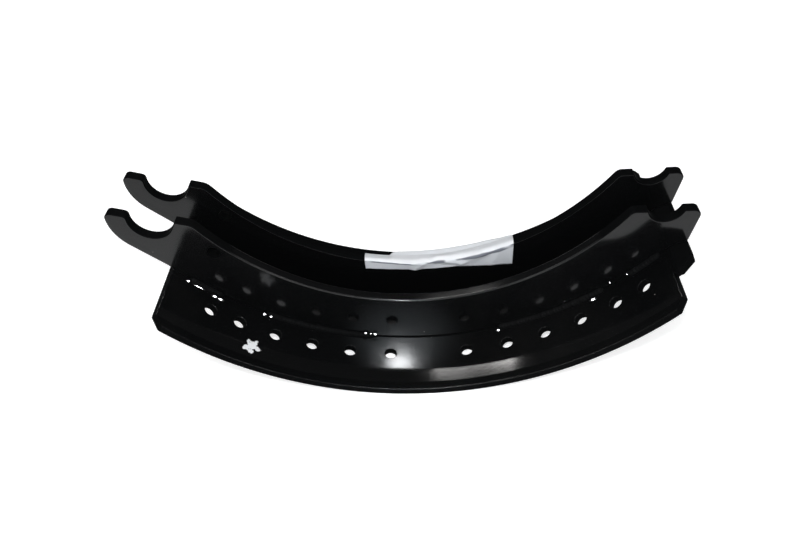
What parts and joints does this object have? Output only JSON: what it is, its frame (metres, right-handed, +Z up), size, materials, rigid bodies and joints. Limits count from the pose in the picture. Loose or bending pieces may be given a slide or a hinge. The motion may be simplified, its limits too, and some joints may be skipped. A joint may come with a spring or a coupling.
{
  "type": "brake shoe",
  "caption": "Unlined drum brake shoe: a curved table with rivet holes on two webs, with open hooks for an anchor pin and open seats for a cam roller.",
  "frame": {"origin": "lowest line of the curved table, midway across it, where the shoe rests", "axes": "+Z up from the table towards the drum axis, +Y across the webs along the drum axis, +X from the anchor hooks towards the cam end"},
  "size_m": [0.3372, 0.127, 0.1225],
  "materials": {
    "table_paint": "gloss black paint",
    "web_paint": "gloss black paint",
    "weld_paint": "gloss black paint over weld ripples",
    "label_paper": "creased white paper"
  },
  "bodies": {
    "root": {"shoe_table": "table_paint", "front_web": "web_paint", "rear_web": "web_paint", "front_weld_beads": "weld_paint", "rear_weld_beads": "weld_paint", "paper_label": "label_paper"}
  },
  "joints": []
}
